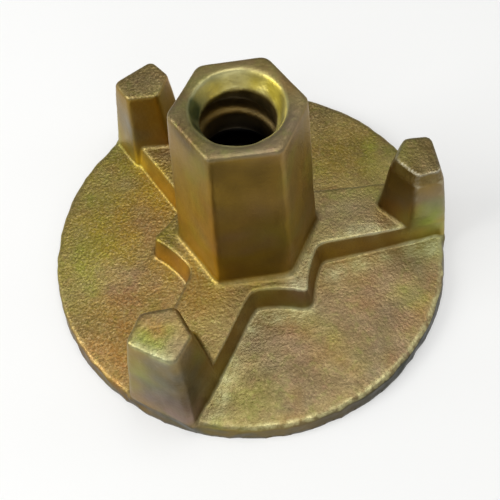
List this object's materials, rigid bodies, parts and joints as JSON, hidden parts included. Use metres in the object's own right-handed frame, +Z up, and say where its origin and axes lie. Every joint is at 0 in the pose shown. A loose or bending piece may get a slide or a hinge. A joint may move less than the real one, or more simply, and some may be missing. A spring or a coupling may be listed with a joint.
{
  "type": "formwork wing nut",
  "caption": "Cast wing nut for formwork tie rods: tall drafted hexagon hub with a coarse right-hand thread on a round pressure disc, braced by ribs ending in upright striking lugs.",
  "frame": {"origin": "centre of the pressure disc's flat foot, on the bore's axis", "axes": "+Z up along the threaded bore from the disc to the top of the hub; +X along the rib that carries the bevelled lug"},
  "size_m": [0.1, 0.1, 0.0564],
  "materials": {
    "zinc": "ductile iron casting, electroplated zinc with yellow chromate passivation, satin and grainy"
  },
  "bodies": {
    "root": {"wing_nut": "zinc"}
  },
  "joints": []
}
